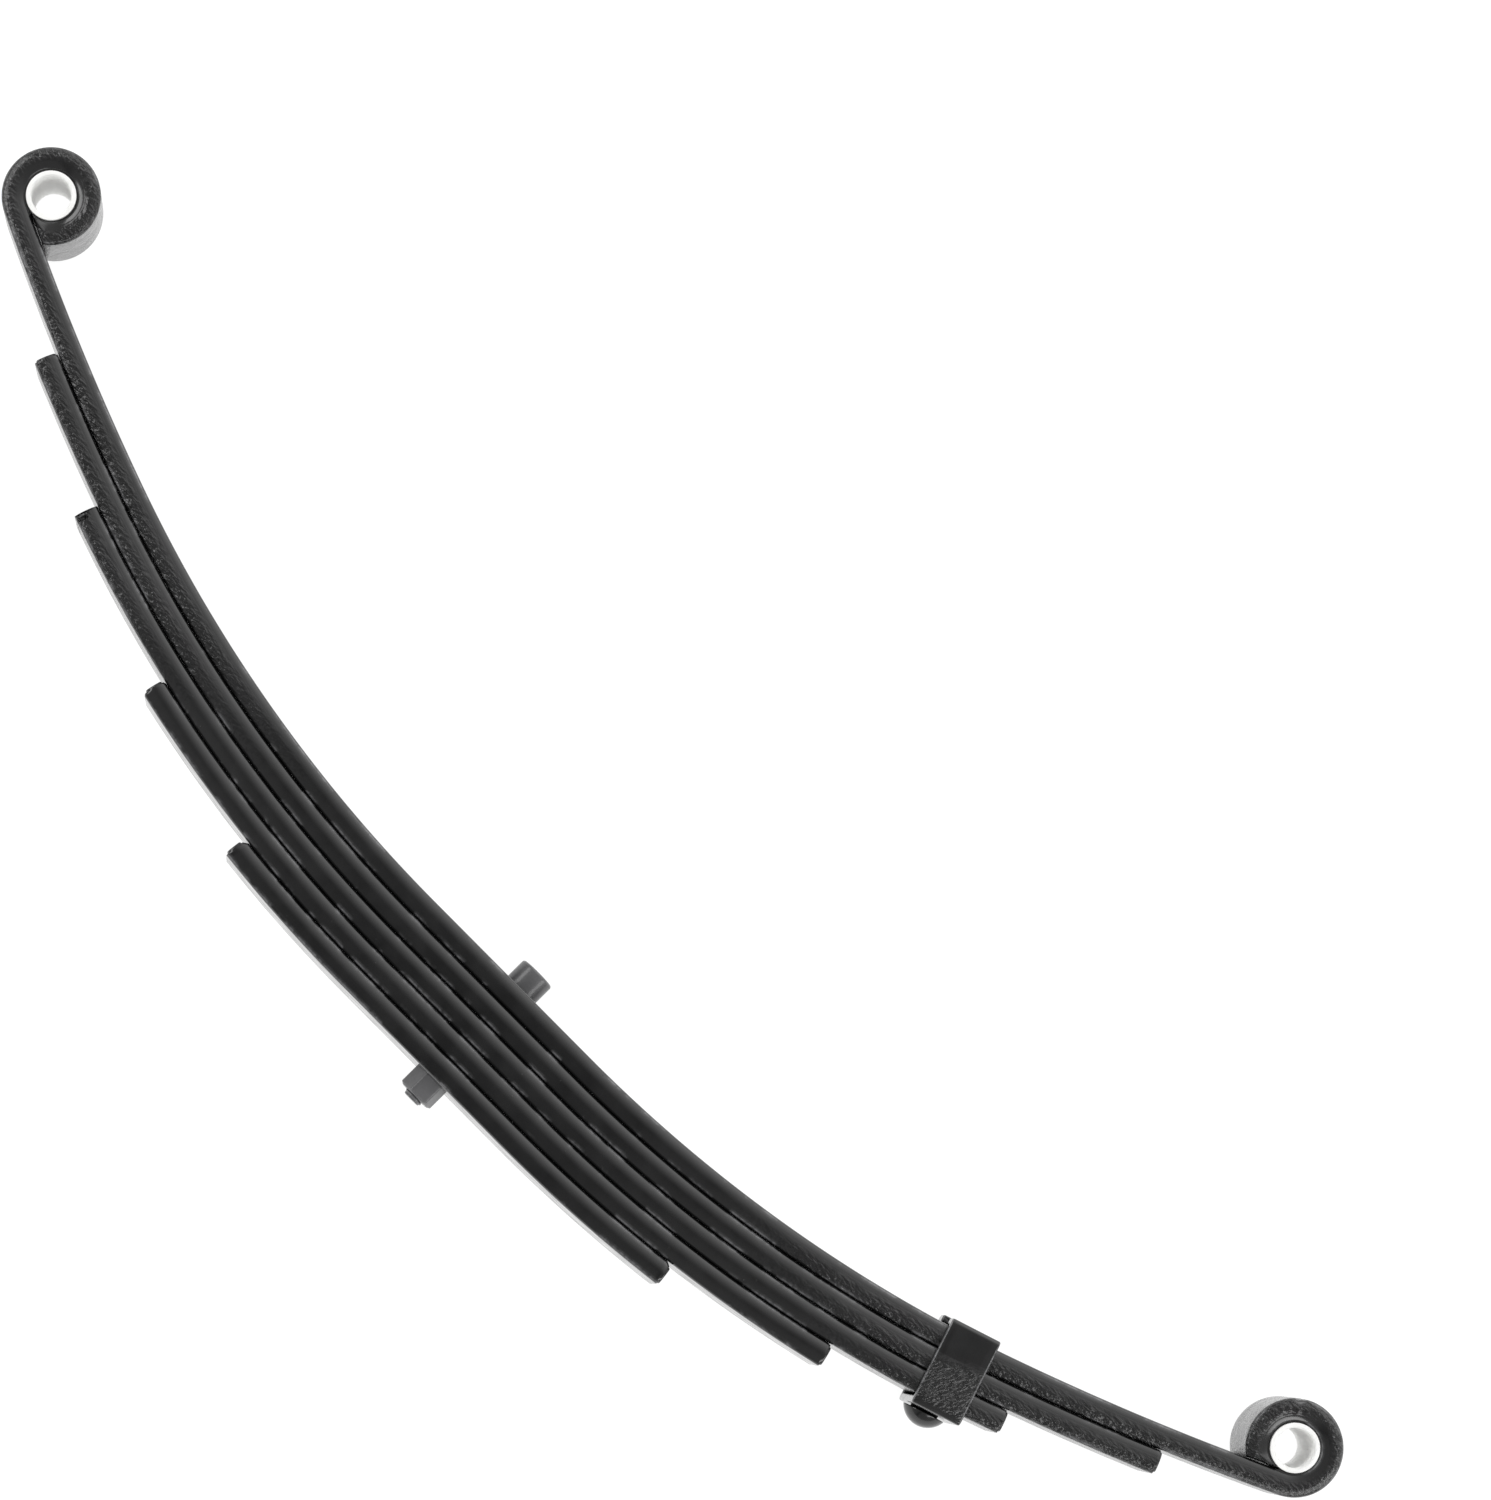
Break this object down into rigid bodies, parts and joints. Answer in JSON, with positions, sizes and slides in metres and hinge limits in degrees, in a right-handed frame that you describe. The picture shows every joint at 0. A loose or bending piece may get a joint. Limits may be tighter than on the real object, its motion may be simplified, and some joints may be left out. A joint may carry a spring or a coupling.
{
  "type": "leaf spring",
  "caption": "Double-eye multi-leaf trailer spring with centre bolt, riveted rebound clip and nylon eye bushings.",
  "frame": {"origin": "on the centre bolt's axis at mid-width, where the bolt head sits on the concave face of the main leaf", "axes": "+X along the span toward the clip end, +Y toward the concave side (up when fitted under a trailer), +Z across the width, parallel to the eye bores; the spring lies on its side"},
  "size_m": [0.6774, 0.1557, 0.0506],
  "materials": {
    "leaf_paint": "semi-gloss black enamel with light orange peel",
    "bolt_paint": "satin black enamel",
    "clip_paint": "semi-gloss black enamel",
    "nylon": "white nylon, slight sheen"
  },
  "bodies": {
    "leaf_pack": {"main_leaf": "leaf_paint", "leaf_2": "leaf_paint", "leaf_3": "leaf_paint", "leaf_4": "leaf_paint", "leaf_5": "leaf_paint", "center_bolt": "bolt_paint", "center_nut": "bolt_paint"},
    "plain_eye": {"plain_end_bushing": "nylon"},
    "clip_eye": {"clip_end_bushing": "nylon"},
    "clip": {"rebound_clip": "clip_paint", "clip_rivet": "clip_paint"}
  },
  "joints": [
    {"name": "clip_arm_flex", "type": "hinge", "parent": "leaf_pack", "child": "clip_eye", "pos_m": [0.055, -0.0225, 0], "axis": [0, 0, -1], "range_deg": [-2, 12], "stiffness_Nm_per_rad": 6400, "deforming": ["main_leaf", "leaf_2", "leaf_3", "leaf_4", "leaf_5"]},
    {"name": "plain_arm_flex", "type": "hinge", "parent": "leaf_pack", "child": "plain_eye", "pos_m": [-0.055, -0.0225, 0], "axis": [0, 0, 1], "range_deg": [-2, 12], "stiffness_Nm_per_rad": 6400, "deforming": ["main_leaf", "leaf_2", "leaf_3", "leaf_4", "leaf_5"]},
    {"name": "clip_follow", "type": "hinge", "parent": "leaf_pack", "child": "clip", "pos_m": [0.1274, -0.0052, 0], "axis": [0, 0, -1], "range_deg": [-3, 18], "deforming": ["main_leaf", "leaf_2", "leaf_3", "leaf_4", "leaf_5"]}
  ],
  "couplings": [
    {"joint": "clip_follow", "follows": "clip_arm_flex", "ratio": 1.4625}
  ]
}
